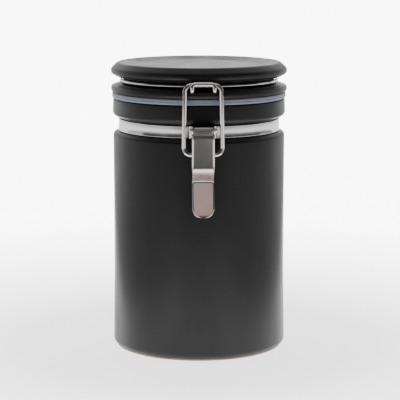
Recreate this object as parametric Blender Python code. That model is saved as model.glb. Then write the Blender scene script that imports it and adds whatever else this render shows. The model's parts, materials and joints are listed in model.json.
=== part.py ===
"""Food canister: a ceramic jar whose lid is held down by a steel wire swing clamp.

Metres, +Z up. The front, with the clamp, faces -Y. The origin is the centre of the foot, on the
surface the jar stands on. Sizes below are in millimetres, and MM turns them into metres.
"""

import math

import bmesh
import bpy
from mathutils import Matrix, Vector

MM = 0.001
CUT = 0.3  # running gap between neighbouring pieces

# Jar and lid
WALL_R = 52.5
NECK_R = 48.3
MOUTH_R = 43.6
SHOULDER_Z = 133.3
RIM_UNDER_Z = 142.1
RIM_Z = 153.2
GASKET_T = 3.55
LID_Z = RIM_Z + GASKET_T + 0.65
LID_R = 53.85
GROOVE_R = 45.8
PLUG_R = 41.2
CREST_Z = 175.2
DISH_Z = 173.3

# Steel band round the neck
BAND_T = 0.6
BAND_R = NECK_R + 0.4
BAND_Z = (133.75, 140.9)
EAR_IN = 6.1
EAR_R = 2.7

# Clamp: the lever turns in the band's ears, the link turns in the lever
LEVER_PIVOT = (-58.0, 139.6)
LINK_PIVOT = (-56.2, 125.0)
LINK_TOP = (-55.6, 165.7)
SHEET_T = 0.9
ROLL_R = 2.1
PLATE_HALF = 6.75
ROLL_HALF = 5.8
TAB_HALF = 6.5
TAB_END = (-61.3, 88.5)
TAB_TIP_R = 5.5
EDGE_BEND = 1.4
FLANGE_Z = (115.5, 133.2)
FLANGE_DEPTH = 6.9
WING_Z = 136.4  # above this the lever is narrow enough to turn between the ears
LEVER_PIN_R = ROLL_R - SHEET_T - CUT
LINK_WIRE_R = 1.3

# Wire round the lid, with the hook in front and the hinge behind
LID_WIRE_R = 1.2
RING_R = 47.4
RING_Z = 164.2
HOOK_HALF = 6.45
HOOK_BAR = (-60.3, 166.5)
HINGE = (57.5, 141.0)
TAIL_HALF = 10.0
KNUCKLE_HALF = 7.5
KNUCKLE_IN_R = LID_WIRE_R + CUT
PLATE_BACK_Y = BAND_R + BAND_T + CUT
RIVET_X = 4.6
RIVET_Z = 136.0

ROUND = 48  # sides of the large turned pieces
TURN_STEP = 34  # degrees of each facet of their rounded edges


def clear_scene():
    for old in list(bpy.data.objects):
        bpy.data.objects.remove(old, do_unlink=True)


def material(name, colour, roughness, metallic=0.0):
    made = bpy.data.materials.new(name)
    made.use_nodes = True
    shader = made.node_tree.nodes["Principled BSDF"]
    shader.inputs["Base Color"].default_value = (*colour, 1.0)
    shader.inputs["Roughness"].default_value = roughness
    shader.inputs["Metallic"].default_value = metallic
    return made


def rounded(corners, closed=False, turn_step=22.5):
    """Replaces each corner (point, radius) by an arc; the points have two or three coordinates."""
    spots = [Vector(point) for point, _ in corners]
    count = len(corners)
    path = []
    for i, (spot, radius) in enumerate(zip(spots, (r for _, r in corners))):
        inner = closed or 0 < i < count - 1
        if not inner or radius == 0:
            path.append(spot)
            continue
        back = (spots[i - 1] - spot).normalized()
        ahead = (spots[(i + 1) % count] - spot).normalized()
        turn = math.pi - back.angle(ahead)
        reach = radius * math.tan(turn / 2)
        middle = spot + (back + ahead).normalized() * radius / math.cos(turn / 2)
        start = spot + back * reach - middle
        end = spot + ahead * reach - middle
        steps = max(1, math.ceil(math.degrees(turn) / turn_step))
        for step in range(steps + 1):
            part = step / steps
            weight_a = math.sin((1 - part) * turn) / math.sin(turn)
            weight_b = math.sin(part * turn) / math.sin(turn)
            path.append(middle + start * weight_a + end * weight_b)
    return path


def arc(centre, radius, start, end, steps):
    """Points of an arc, from the start angle to the end angle in degrees."""
    angles = [math.radians(start + (end - start) * i / steps) for i in range(steps + 1)]
    return [Vector((centre[0] + radius * math.cos(a), centre[1] + radius * math.sin(a))) for a in angles]


def finish_mesh(name, shape, look, sharp=35.0):
    """Makes an object from a bmesh in millimetres, with its faces pointing out."""
    bmesh.ops.recalc_face_normals(shape, faces=shape.faces)
    bmesh.ops.scale(shape, vec=(MM, MM, MM), verts=shape.verts)
    mesh = bpy.data.meshes.new(name)
    shape.to_mesh(mesh)
    shape.free()
    mesh.shade_smooth()
    mesh.set_sharp_from_angle(angle=math.radians(sharp))
    made = bpy.data.objects.new(name, mesh)
    bpy.context.scene.collection.objects.link(made)
    if look:
        mesh.materials.append(look)
    return made


def turned(name, outline, look, sides=ROUND, closed=False, turn=Matrix()):
    """Turns an outline of (radius, height) about Z; an open outline starts and ends on the axis."""
    shape = bmesh.new()
    rings = []
    for radius, height in outline:
        if radius < 1e-6:
            rings.append([shape.verts.new((0, 0, height))])
            continue
        angles = (2 * math.pi * i / sides for i in range(sides))
        rings.append([shape.verts.new((radius * math.cos(a), radius * math.sin(a), height)) for a in angles])
    pairs = list(zip(rings, rings[1:]))
    if closed:
        pairs.append((rings[-1], rings[0]))
    for lower, upper in pairs:
        for i in range(sides):
            j = (i + 1) % sides
            face = [lower[i % len(lower)], lower[j % len(lower)], upper[j % len(upper)], upper[i % len(upper)]]
            shape.faces.new(list(dict.fromkeys(face)))
    bmesh.ops.transform(shape, matrix=turn, verts=shape.verts)
    return finish_mesh(name, shape, look)


def prism(name, outline, low, high, look=None, axes="XYZ"):
    """Extrudes an outline along the third of the axes, from low to high."""
    order = ["XYZ".index(axis) for axis in axes]
    shape = bmesh.new()
    layers = []
    for level in (low, high):
        layer = []
        for point in outline:
            place = [0.0, 0.0, 0.0]
            place[order[0]], place[order[1]], place[order[2]] = point[0], point[1], level
            layer.append(shape.verts.new(place))
        layers.append(layer)
    bottom, top = layers
    shape.faces.new(bottom)
    shape.faces.new(top)
    for i in range(len(bottom)):
        j = (i + 1) % len(bottom)
        shape.faces.new((bottom[i], bottom[j], top[j], top[i]))
    return finish_mesh(name, shape, look)


def wire(name, path, radius, look, closed=False):
    """A round wire along a path in millimetres."""
    curve = bpy.data.curves.new(name, "CURVE")
    curve.dimensions = "3D"
    curve.bevel_depth = radius * MM
    curve.bevel_resolution = 2
    curve.use_fill_caps = True
    spline = curve.splines.new("POLY")
    spline.points.add(len(path) - 1)
    for point, place in zip(spline.points, path):
        point.co = (*(place * MM), 1.0)
    spline.use_cyclic_u = closed
    curve.materials.append(look)
    made = bpy.data.objects.new(name, curve)
    bpy.context.scene.collection.objects.link(made)
    return made


def cut(body, cutter, operation="DIFFERENCE"):
    cutter.hide_render = True
    cutter.display_type = "WIRE"
    step = body.modifiers.new(cutter.name, "BOOLEAN")
    step.operation = operation
    step.solver = "EXACT"
    step.object = cutter


def drill(name, body, centre, radius, half_length, axis):
    """Cuts a round hole through a body, about a centre and along X or Y."""
    about = Matrix.Rotation(math.radians(90), 4, "Y" if axis == "X" else "X")
    outline = [(0, -half_length), (radius, -half_length), (radius, half_length), (0, half_length)]
    cut(body, turned(name, outline, None, sides=24, turn=Matrix.Translation(centre) @ about))


def put_origin(piece, place):
    """Moves a piece's origin, and not its shape, to a place in millimetres."""
    place = Vector(place) * MM
    if piece.type == "CURVE":
        for point in piece.data.splines[0].points:
            point.co = (*(point.co.xyz - place), 1.0)
    else:
        piece.data.transform(Matrix.Translation(-place))
    piece.location = place


def jar_body(look):
    corners = [
        ((0, 1.8), 0),
        ((45.0, 1.8), 0.8),
        ((46.0, 0), 0.5),
        ((50.7, 0), 0.8),
        ((53.0, 3.2), 3.5),
        ((52.4, 45), 0),
        ((52.4, 100), 0),
        ((WALL_R, SHOULDER_Z), 3.0),
        ((NECK_R, SHOULDER_Z), 0.6),
        ((NECK_R, RIM_UNDER_Z), 0.5),
        ((52.9, RIM_UNDER_Z + 0.2), 3.2),
        ((52.6, RIM_Z), 0.9),
        ((MOUTH_R, RIM_Z), 1.0),
        ((MOUTH_R, 137), 4.0),
        ((47.4, 126), 6.0),
        ((47.4, 6.5), 6.0),
        ((0, 6.5), 0),
    ]
    return turned("jar_body", rounded(corners, turn_step=TURN_STEP), look)


def lid(look):
    corners = [
        ((0, 164.0), 0),
        ((33.0, 164.0), 5.0),
        ((34.5, 148.4), 1.2),
        ((39.6, 148.4), 1.4),
        ((PLUG_R, 153.0), 1.0),
        ((PLUG_R, LID_Z), 0),
        ((53.3, LID_Z), 0.6),
        ((LID_R, 158.9), 0.9),
        ((53.7, 160.9), 1.2),
        ((50.3, 162.0), 3.0),
        ((GROOVE_R, 162.6), 0.4),
        ((GROOVE_R, 166.1), 0.4),
        ((50.8, 166.7), 3.0),
        ((LID_R, 168.7), 2.0),
        ((LID_R, 171.4), 3.0),
        ((49.7, CREST_Z + 0.1), 3.0),
        ((47.6, CREST_Z - 0.1), 2.0),
        ((39.0, DISH_Z), 4.0),
        ((0, DISH_Z), 0),
    ]
    piece = turned("lid", rounded(corners, turn_step=TURN_STEP), look)
    put_origin(piece, (0, *HINGE))
    return piece


def gasket(look):
    low = RIM_Z + 0.35
    high = low + GASKET_T
    inside = PLUG_R + CUT
    corners = [((inside, low), 0), ((53.2, low), 0.8), ((53.2, high), 0.8), ((inside, high), 0)]
    piece = turned("gasket", rounded(corners, closed=True, turn_step=45), look, closed=True)
    put_origin(piece, (0, *HINGE))
    return piece


def neck_band(look):
    """An open ring whose ends turn out at the front as two ears, which hold the lever's pin."""
    middle = BAND_R + BAND_T / 2
    ear_x = EAR_IN + BAND_T / 2
    ear_end = LEVER_PIVOT[0] - EAR_R - 1
    bend = 1.8
    lead = math.degrees(math.asin((ear_x + 2 * bend) / middle))
    spots = arc((0, 0), middle, -90 + lead, 270 - lead, 56)
    corner_y = -math.sqrt(middle**2 - ear_x**2)
    route = [((ear_x, ear_end), 0), ((ear_x, corner_y), bend)]
    route += [(spot, 0) for spot in spots]
    route += [((-ear_x, corner_y), bend), ((-ear_x, ear_end), 0)]
    band = prism("neck_band", strip(rounded(route), BAND_T), BAND_Z[0], 143.0, look)

    side = [(60, BAND_Z[0]), (60, BAND_Z[1]), (-54.3, BAND_Z[1])]
    side += [tuple(p) for p in arc(LEVER_PIVOT, EAR_R, 68, 240, 10)]
    side += [(-53.0, BAND_Z[0])]
    cut(band, prism("band_side_cut", side, -60, 60, axes="YZX"), "INTERSECT")
    drill("ear_hole_cut", band, (0, *LEVER_PIVOT), LEVER_PIN_R + CUT, 10, "X")
    for side_name, x in (("left", -RIVET_X), ("right", RIVET_X)):
        drill(f"band_rivet_cut_{side_name}", band, (x, middle, RIVET_Z), 1.3, 3, "Y")
    return band


def strip(path, thickness):
    """The closed outline of a flat strip of this thickness whose middle follows the path."""
    left, right = [], []
    for i, point in enumerate(path):
        run = (path[min(i + 1, len(path) - 1)] - path[max(i - 1, 0)]).normalized()
        aside = Vector((-run.y, run.x)) * thickness / 2
        left.append(point + aside)
        right.append(point - aside)
    return left + right[::-1]


def lever_pin(look):
    ear_out = EAR_IN + BAND_T
    head_in = ear_out + CUT
    head = [((LEVER_PIN_R, head_in), 0), ((1.75, head_in), 0.15), ((1.75, head_in + 0.9), 0.5)]
    top = [((0, head_in + 0.9), 0)]
    half = rounded([((LEVER_PIN_R, 0), 0)] + head + top, turn_step=45)
    outline = [Vector((r, -h)) for r, h in reversed(half[1:])] + half[1:]
    turn = Matrix.Translation((0, *LEVER_PIVOT)) @ Matrix.Rotation(math.radians(90), 4, "Y")
    return turned("lever_pin", outline, look, sides=16, turn=turn)


def lever_width(z, rolled):
    """Half the lever's width at a height: narrow between the ears, round at the tab's end."""
    if rolled or z > WING_Z + 0.2:
        return ROLL_HALF
    if z > FLANGE_Z[0]:
        return PLATE_HALF
    tip = TAB_TIP_R
    low = TAB_END[1]
    if z > low + tip:
        return max(TAB_HALF, PLATE_HALF - (FLANGE_Z[0] - z) * 0.1)
    part = min(1.0, (low + tip - z) / tip)
    return TAB_HALF - tip * (1 - math.sqrt(max(0.0, 1 - part**2)))


def lever_depth(z, rolled):
    """How far the side flanges reach back from the plate's front."""
    ramp = 2.2
    if rolled or z > WING_Z + 0.2 or z < FLANGE_Z[0] - 1.4:
        return SHEET_T + 0.02
    if z > FLANGE_Z[1] + 0.4:
        return EDGE_BEND + 0.02
    if z < FLANGE_Z[0] + ramp:
        part = (z - FLANGE_Z[0] + 1.4) / (ramp + 1.4)
        return SHEET_T + 0.4 + (FLANGE_DEPTH - SHEET_T - 0.4) * math.sin(part * math.pi / 2)
    return FLANGE_DEPTH


def lever_section(half, depth):
    """A U of sheet, as (x, distance behind the front face)."""
    bend = min(EDGE_BEND, depth - 0.01)
    inner = max(bend - SHEET_T, 0.05)
    side = [Vector((half, depth))]
    side += [p for p in arc((half - bend, bend), bend, 0, -90, 4)]
    inside = [p for p in arc((half - SHEET_T - inner, SHEET_T + inner), inner, -90, 0, 2)]
    inside += [Vector((half - SHEET_T, max(depth, SHEET_T + inner + 0.01)))]
    right = side
    left = [Vector((-p.x, p.y)) for p in reversed(side)]
    back = [Vector((-p.x, p.y)) for p in reversed(inside)] + inside
    return right + left + back


def lever(look):
    """One sheet: rolled round the pin, a channel for the link, a jog inward and a flared tab."""
    front = LEVER_PIVOT[0] - ROLL_R
    roll = arc(LEVER_PIVOT, ROLL_R, -75, 180, 12)
    down = [
        ((front, LEVER_PIVOT[1]), 0),
        ((front, 116.0), 8.0),
        ((-54.9, 109.1), 2.0),
        (TAB_END, 0),
    ]
    levels = [136.8, 136.4, 133.7, 133.2, 130.0, 124.0, 118.6, 117.6, 116.6, 115.6, 114.8, 114.0]
    levels += [106.0, 98.0, TAB_END[1] + TAB_TIP_R + 0.1]
    levels += [TAB_END[1] + TAB_TIP_R * (1 - math.sin(math.radians(a))) for a in (0, 20, 40, 58, 74, 84)]
    plate = with_levels(rounded(down, turn_step=8), levels)
    path = roll[:-1] + plate

    shape = bmesh.new()
    rings = []
    for i, point in enumerate(path):
        run = (path[min(i + 1, len(path) - 1)] - path[max(i - 1, 0)]).normalized()
        back = Vector((-run.y, run.x))
        rolled = i < len(roll)
        section = lever_section(lever_width(point.y, rolled), lever_depth(point.y, rolled))
        places = [(x, *(point + back * deep)) for x, deep in section]
        rings.append([shape.verts.new(place) for place in places])
    for first, second in zip(rings, rings[1:]):
        for i in range(len(first)):
            j = (i + 1) % len(first)
            shape.faces.new((first[i], first[j], second[j], second[i]))
    shape.faces.new(rings[0])
    shape.faces.new(rings[-1])
    piece = finish_mesh("lever", shape, look)
    drill("lever_hole_cut", piece, (0, *LINK_PIVOT), LINK_WIRE_R + 0.35, 12, "X")
    put_origin(piece, (0, *LEVER_PIVOT))
    return piece


def with_levels(path, levels):
    """Adds the points where a path that runs downward crosses the given heights."""
    spots = list(path)
    for level in levels:
        for i in range(len(spots) - 1):
            above, below = spots[i], spots[i + 1]
            if above.y - 0.05 > level > below.y + 0.05:
                spots.insert(i + 1, above.lerp(below, (above.y - level) / (above.y - below.y)))
                break
    return spots


def link(look):
    """A closed wire loop, a little wider at the bottom, where it turns in the lever."""
    top, bottom, bend = 10.6, 11.3, 4.2
    corners = [
        ((-bottom, *LINK_PIVOT), bend),
        ((bottom, *LINK_PIVOT), bend),
        ((top, *LINK_TOP), bend),
        ((-top, *LINK_TOP), bend),
    ]
    piece = wire("link", rounded(corners, closed=True, turn_step=15), LINK_WIRE_R, look, closed=True)
    put_origin(piece, (0, *LINK_PIVOT))
    return piece


def lid_wire(look):
    """One wire: a hinge pintle, the ring round the lid, the front hook, and back to a pintle."""
    rear = math.degrees(math.acos(TAIL_HALF / RING_R))
    front = -math.degrees(math.acos(HOOK_HALF / RING_R))
    ring_y = math.sqrt(RING_R**2 - TAIL_HALF**2)
    leg_y = -math.sqrt(RING_R**2 - HOOK_HALF**2)
    half = [
        ((2.4, *HINGE), 0),
        ((TAIL_HALF, *HINGE), 2.4),
        ((TAIL_HALF, HINGE[0], RING_Z), 3.0),
        ((TAIL_HALF, ring_y, RING_Z), 3.0),
    ]
    half += [((p.x, p.y, RING_Z), 0) for p in arc((0, 0), RING_R, rear - 6.5, front + 6.5, 22)]
    half += [
        ((HOOK_HALF, leg_y, RING_Z), 3.0),
        ((HOOK_HALF, HOOK_BAR[0] - 0.3, 162.0), 1.9),
        ((HOOK_HALF, *HOOK_BAR), 1.9),
    ]
    other = [((-x, y, z), bend) for (x, y, z), bend in reversed(half)]
    piece = wire("lid_wire", rounded(half + other, turn_step=18), LID_WIRE_R, look)
    put_origin(piece, (0, *HINGE))
    return piece


def hinge_bracket(look):
    """A plate on the back of the band, bent out and rolled into the hinge's knuckle."""
    middle_r = KNUCKLE_IN_R + SHEET_T / 2
    plate_y = PLATE_BACK_Y + SHEET_T / 2
    web_z = HINGE[1] - middle_r
    corners = [((plate_y, 134.0), 0), ((plate_y, web_z), 1.2), ((HINGE[0], web_z), 0)]
    path = rounded(corners) + arc(HINGE, middle_r, -90, 195, 16)[1:]
    outline = strip(path, SHEET_T)
    bracket = prism("hinge_bracket", outline, -KNUCKLE_HALF, KNUCKLE_HALF, look, axes="YZX")
    for side_name, x in (("left", -RIVET_X), ("right", RIVET_X)):
        drill(f"bracket_rivet_cut_{side_name}", bracket, (x, plate_y, RIVET_Z), 1.3, 3, "Y")
    return bracket


def hinge_rivet(name, x, look):
    """A rivet through the band and the bracket, flush inside and domed outside."""
    head_y = PLATE_BACK_Y + SHEET_T + CUT
    corners = [
        ((0, BAND_R + 0.1), 0),
        ((1.0, BAND_R + 0.1), 0),
        ((1.0, head_y), 0),
        ((1.9, head_y), 0.1),
        ((1.8, head_y + 0.9), 0.7),
        ((0, head_y + 0.95), 0),
    ]
    turn = Matrix.Translation((x, 0, RIVET_Z)) @ Matrix.Rotation(math.radians(-90), 4, "X")
    return turned(name, rounded(corners, turn_step=45), look, sides=16, turn=turn)


def main():
    clear_scene()
    glaze = material("satin_black_glaze", (0.018, 0.018, 0.020), 0.45)
    silicone = material("blue_grey_silicone", (0.24, 0.29, 0.38), 0.55)
    steel = material("brushed_stainless", (0.60, 0.58, 0.56), 0.28, metallic=1.0)

    jar_body(glaze)
    lid(glaze)
    gasket(silicone)
    neck_band(steel)
    lever_pin(steel)
    lever(steel)
    link(steel)
    lid_wire(steel)
    hinge_bracket(steel)
    hinge_rivet("hinge_rivet_left", -RIVET_X, steel)
    hinge_rivet("hinge_rivet_right", RIVET_X, steel)


main()
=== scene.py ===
"""Looks of the food canister: satin black glaze, blue-grey seal and a stainless swing clamp.

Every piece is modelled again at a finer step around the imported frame. Pieces are drawn in millimetres
and MM turns them into metres. Materials and the stage are in metres. The front faces -Y.
"""

import json
import math

import bmesh
import bpy
from mathutils import Matrix, Vector


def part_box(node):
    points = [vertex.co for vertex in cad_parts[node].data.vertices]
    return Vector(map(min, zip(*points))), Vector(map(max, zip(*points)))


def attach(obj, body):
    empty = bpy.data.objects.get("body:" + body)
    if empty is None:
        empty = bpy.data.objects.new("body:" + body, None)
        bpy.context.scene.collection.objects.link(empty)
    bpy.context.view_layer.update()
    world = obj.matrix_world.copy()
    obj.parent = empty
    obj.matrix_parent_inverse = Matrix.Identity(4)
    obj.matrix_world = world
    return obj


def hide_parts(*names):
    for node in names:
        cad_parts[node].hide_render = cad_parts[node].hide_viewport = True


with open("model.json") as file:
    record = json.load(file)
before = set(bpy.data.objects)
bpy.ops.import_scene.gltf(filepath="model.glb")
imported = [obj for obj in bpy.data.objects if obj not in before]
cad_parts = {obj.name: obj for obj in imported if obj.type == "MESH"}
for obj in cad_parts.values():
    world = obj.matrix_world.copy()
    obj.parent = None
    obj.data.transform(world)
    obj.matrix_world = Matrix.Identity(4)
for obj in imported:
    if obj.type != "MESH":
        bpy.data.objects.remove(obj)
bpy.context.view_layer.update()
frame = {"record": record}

MM = 0.001
GAP = 0.3  # clearance between parts that turn or slip over each other
JOINTS = {joint["name"]: joint for joint in frame["record"]["behaviour"]["joints"]}


def pivot(name):
    """Where a joint's axis crosses the middle plane, as (y, z) in millimetres."""
    spot = JOINTS[name]["pos_m"]
    return spot[1] / MM, spot[2] / MM


def node_box(name):
    """A node's lowest and highest corners in millimetres."""
    low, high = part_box(name)
    return Vector(low) / MM, Vector(high) / MM


# Jar and lid
JAR_TOP = node_box("jar_body")[1].z
WALL_R = 52.5
NECK_R = 48.3
MOUTH_R = 43.6
SHOULDER_Z = 133.3
RIM_UNDER_Z = 142.1
LID_LOW, LID_HIGH = node_box("lid")
LID_Z = 157.4
LID_R = LID_HIGH.x
PLUG_R = 41.2
GROOVE_R = 45.8
DISH_Z = 173.3
ROUND = 160  # sides of the jar and the lid

# Band
BAND_R = 48.7
BAND_T = 0.6
BAND_Z = (133.75, 140.9)
EAR_IN = 6.1
EAR_R = 2.7

# Clamp
LEVER_PIVOT = pivot("lever_pivot")
LINK_PIVOT = pivot("link_swing")
LINK_TOP = (-55.6, 165.7)
SHEET_T = 0.9
ROLL_R = 2.1
PLATE_HALF = 6.75
ROLL_HALF = 5.8
TAB_HALF = 6.5
TAB_TAPER = 0.1
TAB_END = (-61.3, 88.5)
TAB_TIP_R = 5.5
EDGE_BEND = 1.4
FLANGE_Z = (115.5, 133.2)
FLANGE_DEPTH = 6.9
FLANGE_RAMP = (1.4, 2.2)  # how far below and above its lower height a flange grows to full depth
WING_Z = 136.4
HAIR = 0.01  # the shortest edge a section may have
LEVER_PIN_R = 0.9
LINK_WIRE_R = 1.3
LINK_GAP = 0.35

# Lid wire and hinge
HINGE = pivot("lid_hinge")
LID_WIRE_R = 1.2
RING_R = 47.4
RING_Z = 164.2
HOOK_HALF = 6.45
HOOK_BAR = (-60.3, 166.5)
TAIL_HALF = 10.0
KNUCKLE_HALF = 7.5
PLATE_BACK_Y = 49.6
RIVET_X = 4.6
RIVET_Z = 136.0
RIVET_R = 1.0

# Edges that turn by more than this many degrees are shaded sharp, or bevelled
SHARP_AS_MADE = 40.0
SHARP_AS_CUT = 38.0
BEVEL_OVER = 42.0


# Shapes


def rounded(corners, closed=False, turn_step=7.5):
    """Replaces each corner (point, radius) by an arc; the points have two or three coordinates."""
    spots = [Vector(point) for point, _ in corners]
    count = len(corners)
    path = []
    for i, (spot, (_, radius)) in enumerate(zip(spots, corners)):
        inner = closed or 0 < i < count - 1
        if not inner or radius == 0:
            path.append(spot)
            continue
        back = (spots[i - 1] - spot).normalized()
        ahead = (spots[(i + 1) % count] - spot).normalized()
        turn = math.pi - back.angle(ahead)
        reach = radius * math.tan(turn / 2)
        middle = spot + (back + ahead).normalized() * radius / math.cos(turn / 2)
        start = spot + back * reach - middle
        end = spot + ahead * reach - middle
        steps = max(1, math.ceil(math.degrees(turn) / turn_step))
        for step in range(steps + 1):
            part = step / steps
            weight_a = math.sin((1 - part) * turn) / math.sin(turn)
            weight_b = math.sin(part * turn) / math.sin(turn)
            path.append(middle + start * weight_a + end * weight_b)
    return path


def arc(centre, radius, start, end, steps):
    """Points on a circle from one angle in degrees to another."""
    angles = [math.radians(start + (end - start) * i / steps) for i in range(steps + 1)]
    across, up = centre
    return [Vector((across + radius * math.cos(a), up + radius * math.sin(a))) for a in angles]


def finish_mesh(name, shape):
    """Makes an object from a shape drawn in millimetres."""
    bmesh.ops.recalc_face_normals(shape, faces=shape.faces)
    bmesh.ops.scale(shape, vec=(MM, MM, MM), verts=shape.verts)
    mesh = bpy.data.meshes.new(name)
    shape.to_mesh(mesh)
    shape.free()
    mesh.shade_smooth()
    mesh.set_sharp_from_angle(angle=math.radians(SHARP_AS_MADE))
    made = bpy.data.objects.new(name, mesh)
    bpy.context.scene.collection.objects.link(made)
    return made


def turned(name, outline, sides=ROUND, closed=False, turn=Matrix()):
    """Turns an outline of (radius, height) about Z, then moves the result by turn."""
    shape = bmesh.new()
    rings = []
    for radius, height in outline:
        if radius < 1e-6:
            rings.append([shape.verts.new((0, 0, height))])
            continue
        ring = []
        for i in range(sides):
            angle = 2 * math.pi * i / sides
            ring.append(shape.verts.new((radius * math.cos(angle), radius * math.sin(angle), height)))
        rings.append(ring)
    pairs = list(zip(rings, rings[1:]))
    if closed:
        pairs.append((rings[-1], rings[0]))
    for lower, upper in pairs:
        for i in range(sides):
            j = (i + 1) % sides
            face = [lower[i % len(lower)], lower[j % len(lower)]]
            face += [upper[j % len(upper)], upper[i % len(upper)]]
            shape.faces.new(list(dict.fromkeys(face)))
    bmesh.ops.transform(shape, matrix=turn, verts=shape.verts)
    return finish_mesh(name, shape)


def loft(name, rings):
    """A closed skin through rings of places that all have the same number of points."""
    shape = bmesh.new()
    rings = [[shape.verts.new(place) for place in ring] for ring in rings]
    for first, second in zip(rings, rings[1:]):
        for i in range(len(first)):
            j = (i + 1) % len(first)
            shape.faces.new((first[i], first[j], second[j], second[i]))
    shape.faces.new(rings[0])
    shape.faces.new(rings[-1])
    return finish_mesh(name, shape)


def prism(name, outline, low, high):
    """Extrudes an outline of (y, z) along X."""
    return loft(name, [[(level, *point) for point in outline] for level in (low, high)])


def strip(path, thickness):
    """The closed outline of a flat strip of this thickness whose middle follows the path."""
    left, right = [], []
    for point, aside in zip(path, asides(path)):
        left.append(point + aside * thickness / 2)
        right.append(point - aside * thickness / 2)
    return left + right[::-1]


def asides(path):
    """The unit vector to the left of the path at each of its points."""
    found = []
    for i in range(len(path)):
        run = (path[min(i + 1, len(path) - 1)] - path[max(i - 1, 0)]).normalized()
        found.append(Vector((-run.y, run.x)))
    return found


def wire(name, path, radius, closed=False):
    """A round wire whose middle follows a path in millimetres."""
    curve = bpy.data.curves.new(name, "CURVE")
    curve.dimensions = "3D"
    curve.bevel_depth = radius * MM
    curve.bevel_resolution = 6
    curve.use_fill_caps = True
    spline = curve.splines.new("POLY")
    spline.points.add(len(path) - 1)
    for point, place in zip(spline.points, path):
        point.co = (*(place * MM), 1.0)
    spline.use_cyclic_u = closed
    spline.use_smooth = True
    made = bpy.data.objects.new(name, curve)
    bpy.context.scene.collection.objects.link(made)
    return made


def applied(piece):
    """Replaces a piece's mesh by its evaluated one, so that no modifier or cutter is left."""
    graph = bpy.context.evaluated_depsgraph_get()
    mesh = bpy.data.meshes.new_from_object(piece.evaluated_get(graph))
    piece.modifiers.clear()
    piece.data = mesh
    mesh.shade_smooth()
    mesh.set_sharp_from_angle(angle=math.radians(SHARP_AS_CUT))
    return piece


def cut(piece, cutter, operation="DIFFERENCE"):
    """Takes a cutter out of a piece, or keeps only what lies inside it."""
    step = piece.modifiers.new("cut", "BOOLEAN")
    step.operation = operation
    step.solver = "EXACT"
    step.object = cutter
    bpy.context.view_layer.update()
    applied(piece)
    bpy.data.objects.remove(cutter, do_unlink=True)


def drill(piece, centre, radius, half_length, axis):
    """Bores a round hole along X or Y."""
    about = Matrix.Rotation(math.radians(90), 4, "Y" if axis == "X" else "X")
    outline = [(0, -half_length), (radius, -half_length), (radius, half_length), (0, half_length)]
    cut(piece, turned("drill", outline, sides=48, turn=Matrix.Translation(centre) @ about))


def soften(piece, width):
    """Breaks the sharp edges of a sheet-metal piece."""
    step = piece.modifiers.new("edge", "BEVEL")
    step.width = width * MM
    step.segments = 2
    step.limit_method = "ANGLE"
    step.angle_limit = math.radians(BEVEL_OVER)
    bpy.context.view_layer.update()
    return applied(piece)


# Materials


def node(tree, kind, settings=None, **inputs):
    """Adds a shader node; an input is a value or another node's output socket."""
    made = tree.nodes.new(kind)
    for key, value in (settings or {}).items():
        setattr(made, key, value)
    for key, value in inputs.items():
        name = key.replace("_", " ")
        socket = made.inputs[int(key[1:])] if key[0] == "i" and key[1:].isdigit() else made.inputs[name]
        if isinstance(value, bpy.types.NodeSocket):
            tree.links.new(value, socket)
        else:
            socket.default_value = value
    return made


def math_node(tree, operation, first, second=0.0):
    """The result of one sum, each side a value or a socket."""
    return node(tree, "ShaderNodeMath", {"operation": operation}, i0=first, i1=second).outputs[0]


def new_material(name):
    """A material, its tree and its Principled node."""
    made = bpy.data.materials.new(name)
    made.use_nodes = True
    tree = made.node_tree
    return made, tree, tree.nodes["Principled BSDF"]


def coordinates(tree, scale=(1, 1, 1)):
    """Object coordinates in metres, stretched by a scale."""
    source = node(tree, "ShaderNodeTexCoord").outputs["Object"]
    return node(tree, "ShaderNodeMapping", Vector=source, Scale=scale).outputs["Vector"]


def noise(tree, vector, scale, detail, rough=0.5):
    """A noise texture's grey output, with about scale grains to one unit of vector."""
    made = node(tree, "ShaderNodeTexNoise", Vector=vector, Scale=scale, Detail=detail, Roughness=rough)
    return made.outputs["Fac"]


def spread(tree, value, low, high, start=0.3, end=0.7):
    """Maps a texture's middle range onto low to high."""
    made = node(tree, "ShaderNodeMapRange", Value=value)
    for key, number in zip(("From Min", "From Max", "To Min", "To Max"), (start, end, low, high)):
        made.inputs[key].default_value = number
    return made.outputs["Result"]


def blend_colour(tree, factor, first, second):
    """Goes from the first colour to the second as factor goes from 0 to 1."""
    made = node(tree, "ShaderNodeMix", {"data_type": "RGBA"})
    for socket, value in ((made.inputs[6], first), (made.inputs[7], second)):
        if isinstance(value, bpy.types.NodeSocket):
            tree.links.new(value, socket)
        else:
            socket.default_value = (*value, 1.0)
    tree.links.new(factor, made.inputs[0])
    return made.outputs[2]


def bump(tree, height, strength, distance, normal=None):
    """A bumped normal, laid over an earlier one if given."""
    made = node(tree, "ShaderNodeBump", Height=height, Strength=strength, Distance=distance)
    if normal:
        tree.links.new(normal, made.inputs["Normal"])
    return made.outputs["Normal"]


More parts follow.
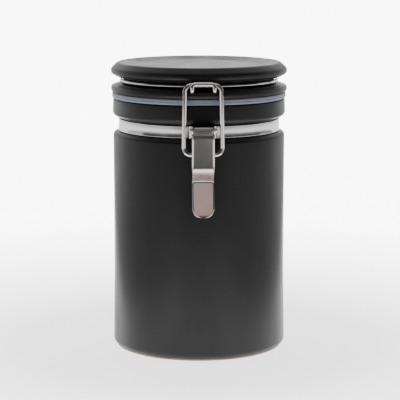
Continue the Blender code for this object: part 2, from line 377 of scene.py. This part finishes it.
def glaze():
    """Satin black glaze: faint clouding, pale specks and orange peel, and a bare clay foot."""
    made, tree, shader = new_material("satin_black_glaze")
    black_low = (0.0068, 0.0056, 0.0060)
    black_high = (0.0108, 0.0092, 0.0096)
    speck_colour = (0.026, 0.024, 0.0235)
    clay_low = (0.17, 0.105, 0.075)
    clay_high = (0.26, 0.17, 0.125)
    clay_rough = 0.85
    clay_waver = 0.0016  # how far the glaze's lower edge wanders
    plain = coordinates(tree)
    cloud = noise(tree, plain, 28.0, 4.0, 0.6)
    drift = noise(tree, coordinates(tree, (1, 1, 0.25)), 70.0, 3.0)
    colour = blend_colour(tree, spread(tree, cloud, 0, 1), black_low, black_high)
    speck = noise(tree, plain, 1500.0, 1.0)
    speck_mask = spread(tree, speck, 0, 1, 0.70, 0.78)
    colour = blend_colour(tree, speck_mask, colour, speck_colour)

    height = node(tree, "ShaderNodeSeparateXYZ", Vector=plain).outputs["Z"]
    level = math_node(tree, "SUBTRACT", height, math_node(tree, "MULTIPLY", drift, clay_waver))
    clay = spread(tree, level, 1, 0, 0.0001, 0.0006)
    grit = noise(tree, plain, 2200.0, 3.0)
    bare = blend_colour(tree, spread(tree, grit, 0, 1), clay_low, clay_high)
    colour = blend_colour(tree, clay, colour, bare)
    tree.links.new(colour, shader.inputs["Base Color"])

    gloss = spread(tree, drift, 0.36, 0.47)
    rough = node(tree, "ShaderNodeMix", {"data_type": "FLOAT"})
    tree.links.new(clay, rough.inputs[0])
    tree.links.new(gloss, rough.inputs[2])
    rough.inputs[3].default_value = clay_rough
    tree.links.new(rough.outputs[0], shader.inputs["Roughness"])

    peel = noise(tree, plain, 420.0, 2.0)
    normal = bump(tree, peel, 0.35, 0.00006)
    normal = bump(tree, speck, 0.25, 0.00003, normal)
    tree.links.new(normal, shader.inputs["Normal"])
    shader.inputs["IOR"].default_value = 1.38
    return made


def silicone():
    """Blue-grey silicone with a little light inside it and fine dust on it."""
    made, tree, shader = new_material("blue_grey_silicone")
    blue_low = (0.20, 0.235, 0.305)
    blue_high = (0.26, 0.295, 0.37)
    dust_colour = (0.24, 0.26, 0.30)
    plain = coordinates(tree)
    cloud = noise(tree, plain, 90.0, 3.0)
    colour = blend_colour(tree, spread(tree, cloud, 0, 1), blue_low, blue_high)
    dust = spread(tree, noise(tree, plain, 2600.0, 2.0), 0, 1, 0.66, 0.76)
    colour = blend_colour(tree, dust, colour, dust_colour)
    tree.links.new(colour, shader.inputs["Base Color"])
    tree.links.new(spread(tree, cloud, 0.42, 0.56), shader.inputs["Roughness"])
    shader.inputs["Subsurface Weight"].default_value = 0.25
    shader.inputs["Subsurface Radius"].default_value = (0.0012, 0.0014, 0.0018)
    shader.inputs["Sheen Weight"].default_value = 0.15
    fine = noise(tree, plain, 1800.0, 2.0)
    tree.links.new(bump(tree, fine, 0.2, 0.00003), shader.inputs["Normal"])
    return made


def steel(name, grain, tint, rough_low, rough_high, lines, bend=None):
    """Stainless steel, with streaks that run long on the axes where grain is small.

    bend is a pair of heights in millimetres. The sheet between them is painted a dark brown that stands
    for the dark reflection of the jar in the inward bend.
    """
    made, tree, shader = new_material(name)
    bend_reflection_colour = (0.115, 0.08, 0.075)
    reflection_fade = (0.2, 1.6)  # millimetres either side of the lower and the upper height
    plain = coordinates(tree)
    streak = noise(tree, coordinates(tree, grain), 1.0, 3.0, 0.65)
    cloud = noise(tree, plain, 160.0, 3.0)
    dark = tuple(0.88 * part for part in tint)
    colour = blend_colour(tree, spread(tree, streak, 0, 1, 0.25, 0.75), dark, tint)
    smudge = spread(tree, noise(tree, plain, 55.0, 4.0), 0, 0.55, 0.52, 0.75)
    colour = blend_colour(tree, smudge, colour, tuple(0.8 * part for part in tint))
    # Painted reflection: between the bend's heights the sheet is painted dark brown for the black jar it
    # mirrors there
    if bend:
        height = node(tree, "ShaderNodeSeparateXYZ", Vector=plain).outputs["Z"]
        masks = []
        for level, fade, ends in zip(bend, reflection_fade, ((0, 1), (1, 0))):
            masks.append(spread(tree, height, *ends, (level - fade) * MM, (level + fade) * MM))
        painted_reflection = math_node(tree, "MULTIPLY", *masks)
        painted_reflection = math_node(tree, "MULTIPLY", painted_reflection, spread(tree, cloud, 0.8, 1.0))
        colour = blend_colour(tree, painted_reflection, colour, bend_reflection_colour)
    tree.links.new(colour, shader.inputs["Base Color"])
    shader.inputs["Metallic"].default_value = 1.0
    uneven = math_node(tree, "MULTIPLY", math_node(tree, "ADD", streak, cloud), 0.5)
    tree.links.new(spread(tree, uneven, rough_low, rough_high), shader.inputs["Roughness"])
    normal = bump(tree, streak, lines, 0.00002)
    normal = bump(tree, cloud, 0.06, 0.00004, normal)
    tree.links.new(normal, shader.inputs["Normal"])
    return made


def dress(piece, look, body, slot, *nodes):
    """Gives a piece its material and its place in the frame."""
    piece.data.materials.clear()
    piece.data.materials.append(look)
    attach(piece, body)
    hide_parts(*nodes)


# Pieces


def jar_body():
    """A hollow jar with a foot ring, a shoulder, a recessed neck and a flared rim."""
    recess_z = 1.8
    waist_r = 52.4
    hollow_r = 47.4
    hollow_z = 6.5
    corners = [
        ((0, recess_z), 0),
        ((45.0, recess_z), 0.8),
        ((46.0, 0), 0.5),
        ((50.7, 0), 0.8),
        ((53.0, 3.2), 3.5),
        ((waist_r, 45), 0),
        ((waist_r, 100), 0),
        ((WALL_R, SHOULDER_Z), 3.0),
        ((NECK_R, SHOULDER_Z), 0.6),
        ((NECK_R, RIM_UNDER_Z), 0.5),
        ((52.9, RIM_UNDER_Z + 0.2), 3.2),
        ((52.6, JAR_TOP), 0.9),
        ((MOUTH_R, JAR_TOP), 1.0),
        ((MOUTH_R, 137), 4.0),
        ((hollow_r, 126), 6.0),
        ((hollow_r, hollow_z), 6.0),
        ((0, hollow_z), 0),
    ]
    return turned("jar_glazed", rounded(corners))


def lid():
    """Two flanges with a groove between them, a dished top and a hollow plug below."""
    crest = LID_HIGH.z
    hollow_z = 164.0
    corners = [
        ((0, hollow_z), 0),
        ((33.0, hollow_z), 5.0),
        ((34.5, LID_LOW.z), 1.2),
        ((39.6, LID_LOW.z), 1.4),
        ((PLUG_R, 153.0), 1.0),
        ((PLUG_R, LID_Z), 0),
        ((53.3, LID_Z), 0.6),
        ((LID_R, 158.9), 0.9),
        ((53.7, 160.9), 1.2),
        ((50.3, 162.0), 3.0),
        ((GROOVE_R, 162.6), 0.4),
        ((GROOVE_R, 166.1), 0.4),
        ((50.8, 166.7), 3.0),
        ((LID_R, 168.7), 2.0),
        ((LID_R, 171.4), 3.0),
        ((49.7, crest + 0.1), 3.0),
        ((47.6, crest - 0.1), 2.0),
        ((39.0, DISH_Z), 4.0),
        ((37.8, DISH_Z), 0),
        ((20.0, DISH_Z), 0),
        ((0, DISH_Z), 0),
    ]
    return turned("lid_glazed", rounded(corners))


def gasket():
    """A ring with a fine groove round its outer face."""
    low, high = node_box("gasket")
    inside = PLUG_R + GAP
    middle = (low.z + high.z) / 2
    seam = 0.25
    corners = [
        ((inside, low.z), 0),
        ((high.x - 0.1, low.z), 0.9),
        ((high.x, middle - seam), 0.3),
        ((high.x - 0.3, middle), 0.2),
        ((high.x, middle + seam), 0.3),
        ((high.x - 0.1, high.z), 0.9),
        ((inside, high.z), 0),
    ]
    return turned("gasket_ring", rounded(corners, closed=True, turn_step=20), closed=True)


def band():
    """The band has a small raised lip along both edges, which fades out before the ears."""
    middle = BAND_R + BAND_T / 2
    ear_x = EAR_IN + BAND_T / 2
    bend = 1.8
    blank_top = 143.0  # the sheet's height before its ears are trimmed round
    fade_start = 0.16  # radians from the front
    fade_run = 0.1
    lead = math.degrees(math.asin((ear_x + 2 * bend) / middle))
    spots = arc((0, 0), middle, -90 + lead, 270 - lead, 150)
    corner_y = -math.sqrt(middle**2 - ear_x**2)
    end_y = LEVER_PIVOT[0] - EAR_R - 1
    route = [((ear_x, end_y), 0), ((ear_x, corner_y), bend)]
    route += [(spot, 0) for spot in spots]
    route += [((-ear_x, corner_y), bend), ((-ear_x, end_y), 0)]
    path = rounded(route, turn_step=10)

    low, high = BAND_Z
    levels = [(low, 0.03), (low + 0.15, 0.1), (low + 0.4, 0.13), (low + 0.7, 0.06), (low + 0.95, 0.0)]
    levels += [(high - (z - low), lip) for z, lip in reversed(levels)]
    levels += [(blank_top, 0.0)]
    rings = []
    for point, aside in zip(path, asides(path)):
        from_front = abs(math.atan2(point.x, -point.y))
        fade = min(1.0, max(0.0, (from_front - fade_start) / fade_run))
        outer = [(*(point - aside * (BAND_T / 2 + lip * fade)), z) for z, lip in levels]
        inner = [(*(point + aside * BAND_T / 2), z) for z in (blank_top, low)]
        rings.append(outer + inner)
    piece = loft("neck_band_steel", rings)

    beyond = 60
    side = [(beyond, low), (beyond, high), (-54.3, high)]
    side += [tuple(point) for point in arc(LEVER_PIVOT, EAR_R, 68, 240, 28)]
    side += [(-53.0, low)]
    cut(piece, prism("side", side, -beyond, beyond), "INTERSECT")
    drill(piece, (0, *LEVER_PIVOT), LEVER_PIN_R + GAP, 10, "X")
    return soften(piece, 0.1)


def narrow(z, rolled):
    """Whether the lever is still between the ears, in its roll or just below it."""
    return rolled or z > WING_Z + 0.2


def lever_width(z, rolled):
    """Half the lever's width at a height: narrow between the ears, round at the tab's end."""
    if narrow(z, rolled):
        return ROLL_HALF
    if z > FLANGE_Z[0]:
        return PLATE_HALF
    tip = TAB_TIP_R
    low = TAB_END[1]
    if z > low + tip:
        return max(TAB_HALF, PLATE_HALF - (FLANGE_Z[0] - z) * TAB_TAPER)
    part = min(1.0, (low + tip - z) / tip)
    return TAB_HALF - tip * (1 - math.sqrt(max(0.0, 1 - part**2)))


def lever_depth(z, rolled):
    """How far the side flanges reach back from the plate's front."""
    low, high = FLANGE_Z
    below, above = FLANGE_RAMP
    if narrow(z, rolled) or z < low - below:
        return SHEET_T + 2 * HAIR
    if z > high + 0.4:
        return EDGE_BEND + 2 * HAIR
    if z < low + above:
        part = (z - low + below) / (above + below)
        start = SHEET_T + 0.4
        return start + (FLANGE_DEPTH - start) * math.sin(part * math.pi / 2)
    return FLANGE_DEPTH


def lever_section(half, depth):
    """A U of sheet, as (x, distance behind the front face)."""
    bend = min(EDGE_BEND, depth - HAIR)
    inner = max(bend - SHEET_T, 5 * HAIR)
    side = [Vector((half, depth))] + arc((half - bend, bend), bend, 0, -90, 8)
    inside = arc((half - SHEET_T - inner, SHEET_T + inner), inner, -90, 0, 4)
    inside += [Vector((half - SHEET_T, max(depth, SHEET_T + inner + HAIR)))]
    left = [Vector((-point.x, point.y)) for point in reversed(side)]
    back = [Vector((-point.x, point.y)) for point in reversed(inside)] + inside
    return side + left + back


def with_levels(path, levels):
    """Adds the points where a path that runs downward crosses the given heights, if it has none near."""
    spots = list(path)
    near = 0.02
    for level in levels:
        for i in range(len(spots) - 1):
            above, below = spots[i], spots[i + 1]
            if above.y - near > level > below.y + near:
                spots.insert(i + 1, above.lerp(below, (above.y - level) / (above.y - below.y)))
                break
    return spots


def lever():
    """Sheet rolled round the pin, down the plate, in at the bend and out along the tab."""
    front = LEVER_PIVOT[0] - ROLL_R
    roll = arc(LEVER_PIVOT, ROLL_R, -75, 180, 28)
    down = [((front, LEVER_PIVOT[1]), 0), ((front, 116.0), 8.0), ((-54.9, 109.1), 2.0), (TAB_END, 0)]
    flange_low, flange_high = FLANGE_Z
    # Heights that get a section of their own, close together where the shape changes
    levels = [WING_Z + 0.3, WING_Z + 0.1, flange_high + 0.5, flange_high + 0.3, flange_high, 130.0, 124.0]
    levels += [flange_low + 2.4 - 0.3 * i for i in range(14)]
    levels += [106.0, 102.0, 98.0, TAB_END[1] + TAB_TIP_R + 0.2]
    levels += [TAB_END[1] + TAB_TIP_R * (1 - math.sin(math.radians(a))) for a in range(0, 90, 6)]
    path = roll[:-1] + with_levels(rounded(down, turn_step=3), levels)
    rings = []
    for i, (point, back) in enumerate(zip(path, asides(path))):
        rolled = i < len(roll)
        section = lever_section(lever_width(point.y, rolled), lever_depth(point.y, rolled))
        rings.append([(x, *(point + back * deep)) for x, deep in section])
    piece = loft("lever_sheet", rings)
    drill(piece, (0, *LINK_PIVOT), LINK_WIRE_R + LINK_GAP, 12, "X")
    return soften(piece, 0.12)


def link():
    """A closed loop, a little wider below, where it turns in the lever's flanges."""
    top = 10.6
    bottom = 11.3
    bend = 4.2
    corners = [
        ((-bottom, *LINK_PIVOT), bend),
        ((bottom, *LINK_PIVOT), bend),
        ((top, *LINK_TOP), bend),
        ((-top, *LINK_TOP), bend),
    ]
    return wire("link_loop", rounded(corners, closed=True, turn_step=5), LINK_WIRE_R, closed=True)


def lid_wire():
    """Both halves alike: from the hinge up the tail, round the groove and out to the hook."""
    pintle_end = 2.4
    tail_bend = 2.4
    corner = 3.0
    hook_bend = 1.9
    hook_low = 162.0
    lead = 6.5  # degrees of ring left free at each end for the corner
    rear = math.degrees(math.acos(TAIL_HALF / RING_R))
    front = -math.degrees(math.acos(HOOK_HALF / RING_R))
    ring_y = math.sqrt(RING_R**2 - TAIL_HALF**2)
    leg_y = -math.sqrt(RING_R**2 - HOOK_HALF**2)
    half = [
        ((pintle_end, *HINGE), 0),
        ((TAIL_HALF, *HINGE), tail_bend),
        ((TAIL_HALF, HINGE[0], RING_Z), corner),
        ((TAIL_HALF, ring_y, RING_Z), corner),
    ]
    ring = arc((0, 0), RING_R, rear - lead, front + lead, 90)
    half += [((point.x, point.y, RING_Z), 0) for point in ring]
    half += [
        ((HOOK_HALF, leg_y, RING_Z), corner),
        ((HOOK_HALF, HOOK_BAR[0] - 0.3, hook_low), hook_bend),
        ((HOOK_HALF, *HOOK_BAR), hook_bend),
    ]
    other = [((-x, y, z), bend) for (x, y, z), bend in reversed(half)]
    return wire("lid_wire_ring", rounded(half + other, turn_step=7), LID_WIRE_R)


def lever_pin():
    """A pin with a head at each end, outside the ears."""
    high = node_box("lever_pin")[1]
    head_in = EAR_IN + BAND_T + GAP
    head_r = 1.75
    corners = [
        ((LEVER_PIN_R, 0), 0),
        ((LEVER_PIN_R, head_in), 0),
        ((head_r, head_in), 0.15),
        ((head_r, high.x), 0.5),
        ((0, high.x), 0),
    ]
    half = rounded(corners)
    other = [Vector((radius, -height)) for radius, height in reversed(half[1:])]
    turn = Matrix.Translation((0, *LEVER_PIVOT)) @ Matrix.Rotation(math.radians(90), 4, "Y")
    return turned("lever_pin_steel", other + half[1:], sides=40, turn=turn)


def hinge_bracket():
    """A plate on the back of the band, with a web out to the knuckle round the lid wire's ends."""
    plate_low = 134.0
    middle_r = LID_WIRE_R + GAP + SHEET_T / 2
    plate_y = PLATE_BACK_Y + SHEET_T / 2
    web_z = HINGE[1] - middle_r
    corners = [((plate_y, plate_low), 0), ((plate_y, web_z), 1.2), ((HINGE[0], web_z), 0)]
    path = rounded(corners) + arc(HINGE, middle_r, -90, 195, 48)[1:]
    piece = prism("hinge_bracket_steel", strip(path, SHEET_T), -KNUCKLE_HALF, KNUCKLE_HALF)
    for x in (-RIVET_X, RIVET_X):
        drill(piece, (x, plate_y, RIVET_Z), RIVET_R + GAP, 3, "Y")
    return soften(piece, 0.12)


def hinge_rivet(side, x):
    """A rivet that lies along Y, with its head outside the plate."""
    shank_y = BAND_R + 0.1
    head_y = PLATE_BACK_Y + SHEET_T + GAP
    corners = [
        ((0, shank_y), 0),
        ((RIVET_R, shank_y), 0),
        ((RIVET_R, head_y), 0),
        ((1.9, head_y), 0.1),
        ((1.8, head_y + 0.9), 0.7),
        ((0, head_y + 0.95), 0),
    ]
    turn = Matrix.Translation((x, 0, RIVET_Z)) @ Matrix.Rotation(math.radians(-90), 4, "X")
    return turned(f"hinge_rivet_{side}_steel", rounded(corners, turn_step=12), sides=32, turn=turn)


def build_canister():
    """Makes the looks, then every piece in its own look."""
    upright = (4200, 900, 60)
    sheet_tint = (0.60, 0.575, 0.56)
    # Heights of the lever's bend, between which a dark reflection of the jar is painted on
    lever_reflection_heights = (109.3, 115.2)
    black = glaze()
    seal = silicone()
    round_steel = steel("band_steel", (40, 40, 5200), (0.70, 0.68, 0.66), 0.13, 0.20, 0.05)
    sheet_steel = steel("sheet_steel", upright, sheet_tint, 0.16, 0.26, 0.06)
    lever_steel = steel("lever_steel", upright, sheet_tint, 0.12, 0.19, 0.05, lever_reflection_heights)
    wire_steel = steel("wire_steel", (700, 700, 700), (0.64, 0.61, 0.59), 0.08, 0.14, 0.02)

    dress(jar_body(), black, "base", "black_glaze", "jar_body")
    dress(lid(), black, "lid", "black_glaze", "lid")
    dress(gasket(), seal, "lid", "seal_silicone", "gasket")
    dress(band(), round_steel, "base", "clamp_steel", "neck_band")
    dress(lever_pin(), wire_steel, "base", "clamp_steel", "lever_pin")
    dress(lever(), lever_steel, "lever", "clamp_steel", "lever")
    dress(link(), wire_steel, "link", "clamp_steel", "link")
    dress(lid_wire(), wire_steel, "lid", "clamp_steel", "lid_wire")
    dress(hinge_bracket(), sheet_steel, "base", "clamp_steel", "hinge_bracket")
    for side, x in (("left", -RIVET_X), ("right", RIVET_X)):
        dress(hinge_rivet(side, x), wire_steel, "base", "clamp_steel", f"hinge_rivet_{side}")


# Stage, in metres

CAMERA_SPOT = (-0.0461, -1.0557)
CAMERA_HEIGHT = 0.2599
CAMERA_PITCH = 0.16
CAMERA_YAW = math.radians(2.5)
CAMERA_LENS = 155.8
CAMERA_SHIFT = 0.0027

# How strongly the paper glows
PAPER_GLOW = 8.0  # where the camera looks
HIGH_GLOW = 1.4  # the wall above what the camera sees, for the lid
FOOT_GLOW = 2.2  # just round the foot, which the glaze mirrors
SIDE_GLOW = 1.8  # far to the sides, for the steel
NEAR_GLOW = 0.65  # round the jar, for the glaze

# Where one glow gives way to the next
WEDGE_SLOPE = (0.122, 0.16)  # sideways for each metre ahead of the camera
WEDGE_START = (0.80, 0.88)  # ahead of the camera
FOOT_REACH = (0.11, 0.45)  # from the jar's axis
NEAR_REACH = (0.5, 0.8)  # from the jar's axis
WALL_Z = (0.16, 0.3)  # height on the wall
DIM_PLACE = (0, -0.85, 0)  # an oval of floor in front of the jar that stays nearly dark
DIM_SIZE = (0.42, 0.74, 1)
DIM_REACH = (0.6, 1.1)  # in shares of the oval's size
DIM_LEFT = 0.05


def distance(tree, vector):
    """How long a vector is."""
    return node(tree, "ShaderNodeVectorMath", {"operation": "LENGTH"}, i0=vector).outputs["Value"]


def mixed(tree, share, first, second):
    """The first value where share is 1 and the second where it is 0."""
    left = math_node(tree, "MULTIPLY", first, share)
    right = math_node(tree, "MULTIPLY", second, math_node(tree, "SUBTRACT", 1.0, share))
    return math_node(tree, "ADD", left, right)


def paper():
    """White paper that glows by its place: most behind the jar, least in front of it. Away from where the
    camera looks, its colour is painted dark grey as painted shade.
    """
    made, tree, shader = new_material("paper")
    place = node(tree, "ShaderNodeTexCoord").outputs["Object"]
    turn = {"vector_type": "TEXTURE"}
    ahead = node(tree, "ShaderNodeMapping", turn, Vector=place, Location=(*CAMERA_SPOT, 0))
    ahead.inputs["Rotation"].default_value = (0, 0, -CAMERA_YAW)
    seen = node(tree, "ShaderNodeSeparateXYZ", Vector=ahead.outputs["Vector"])
    deep = math_node(tree, "MAXIMUM", seen.outputs["Y"], 0.05)
    slope = math_node(tree, "DIVIDE", math_node(tree, "ABSOLUTE", seen.outputs["X"]), deep)
    narrowing = spread(tree, slope, 1, 0, *WEDGE_SLOPE)
    wedge = math_node(tree, "MULTIPLY", narrowing, spread(tree, deep, 0, 1, *WEDGE_START))

    around = node(tree, "ShaderNodeMapping", Vector=place, Scale=(1, 1, 0)).outputs["Vector"]
    away = distance(tree, around)
    side = spread(tree, away, NEAR_GLOW, SIDE_GLOW, *NEAR_REACH)
    oval = node(tree, "ShaderNodeMapping", turn, Vector=around, Location=DIM_PLACE, Scale=DIM_SIZE)
    outside = distance(tree, oval.outputs["Vector"])
    side = math_node(tree, "MULTIPLY", side, spread(tree, outside, DIM_LEFT, 1, *DIM_REACH))

    behind = spread(tree, away, FOOT_GLOW, PAPER_GLOW, *FOOT_REACH)
    glow = mixed(tree, wedge, behind, side)
    height = node(tree, "ShaderNodeSeparateXYZ", Vector=place).outputs["Z"]
    glow = mixed(tree, spread(tree, height, 1, 0, *WALL_Z), glow, HIGH_GLOW)
    tree.links.new(glow, shader.inputs["Emission Strength"])
    # Painted shade: the paper's colour is pale grey where the camera looks and painted dark grey
    # everywhere else, so the glaze mirrors a darker room
    paper_shade_colour = blend_colour(tree, wedge, (0.12, 0.12, 0.12), (0.8, 0.8, 0.8))
    tree.links.new(paper_shade_colour, shader.inputs["Base Color"])
    shader.inputs["Emission Color"].default_value = (1, 1, 1, 1)
    shader.inputs["Roughness"].default_value = 0.9
    shader.inputs["Specular IOR Level"].default_value = 0.0
    return made


def sweep():
    """A floor that curves up behind the canister."""
    half = 2.2
    corners = [((-1.6, 0), 0), ((1.7, 0), 0.5), ((1.75, 2.0), 0)]
    rings = [[(x, *point) for point in rounded(corners, turn_step=5)] for x in (-half, half)]
    shape = bmesh.new()
    first, second = ([shape.verts.new(place) for place in ring] for ring in rings)
    for i in range(len(first) - 1):
        shape.faces.new((first[i], second[i], second[i + 1], first[i + 1]))
    mesh = bpy.data.meshes.new("sweep")
    shape.to_mesh(mesh)
    shape.free()
    mesh.shade_smooth()
    mesh.materials.append(paper())
    floor = bpy.data.objects.new("sweep", mesh)
    bpy.context.scene.collection.objects.link(floor)


def softbox(name, place, target, size, power, colour=(1, 1, 1)):
    """A rectangular lamp at a place, turned to face its target."""
    data = bpy.data.lights.new(name, "AREA")
    data.shape = "RECTANGLE"
    data.size, data.size_y = size
    data.energy = power
    data.color = colour
    lamp = bpy.data.objects.new(name, data)
    lamp.location = place
    lamp.rotation_euler = (Vector(target) - Vector(place)).to_track_quat("-Z", "Y").to_euler()
    bpy.context.scene.collection.objects.link(lamp)


def light():
    """A faint cool room, a large soft lamp above, two at the sides and a weak pink card in front."""
    world = bpy.data.worlds.new("room")
    world.use_nodes = True
    background = world.node_tree.nodes["Background"]
    background.inputs["Color"].default_value = (0.80, 0.84, 0.92, 1)
    background.inputs["Strength"].default_value = 0.09
    bpy.context.scene.world = world
    middle = (0, 0, 0.09)
    tab = (0, -0.058, 0.098)
    softbox("top", (0, 0.45, 1.5), middle, (2.4, 2.0), 16)
    softbox("card", (0.05, -1.2, 0.64), tab, (0.55, 0.36), 0.42, (1.0, 0.72, 0.66))
    softbox("left", (-1.1, 0.35, 0.55), middle, (0.9, 1.0), 2)
    softbox("right", (1.2, 0.35, 0.6), middle, (0.6, 0.9), 1.5, (0.85, 0.92, 1.0))


def camera():
    """The view of a long lens from the front, a little to the left and above."""
    data = bpy.data.cameras.new("camera")
    data.lens = CAMERA_LENS
    data.sensor_width = 36
    data.shift_x = CAMERA_SHIFT
    view = bpy.data.objects.new("camera", data)
    view.location = (*CAMERA_SPOT, CAMERA_HEIGHT)
    view.rotation_euler = (math.pi / 2 - CAMERA_PITCH, 0, -CAMERA_YAW)
    bpy.context.scene.collection.objects.link(view)
    bpy.context.scene.camera = view


camera()
light()
sweep()
build_canister()
